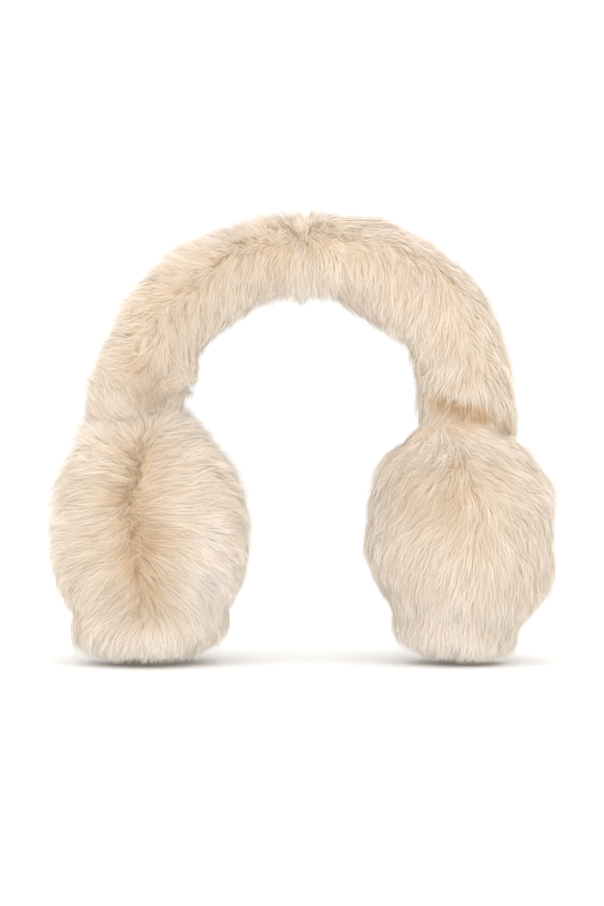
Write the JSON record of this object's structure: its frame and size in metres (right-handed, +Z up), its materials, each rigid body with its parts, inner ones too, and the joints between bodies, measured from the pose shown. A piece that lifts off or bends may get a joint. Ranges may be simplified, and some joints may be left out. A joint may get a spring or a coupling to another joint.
{
  "type": "fur earmuffs",
  "caption": "Fur earmuffs: a fur-covered band arches over the head to a round fur muff at each ear, sewn from an outer and an inner panel.",
  "frame": {"origin": "middle of the box's base, on the surface that the muffs stand on", "axes": "+X from the left muff to the right one as the picture shows them, +Y away from the camera, +Z up from the muffs' soles to the crown of the band"},
  "size_m": [0.2547, 0.1102, 0.2257],
  "materials": {
    "band_fur": "long cream fur",
    "outer_fur": "long cream fur",
    "inner_fur": "paler long cream fur"
  },
  "bodies": {
    "root": {"headband": "band_fur", "left_outer_panel": "outer_fur", "left_inner_panel": "inner_fur", "right_outer_panel": "outer_fur", "right_inner_panel": "inner_fur"}
  },
  "joints": []
}
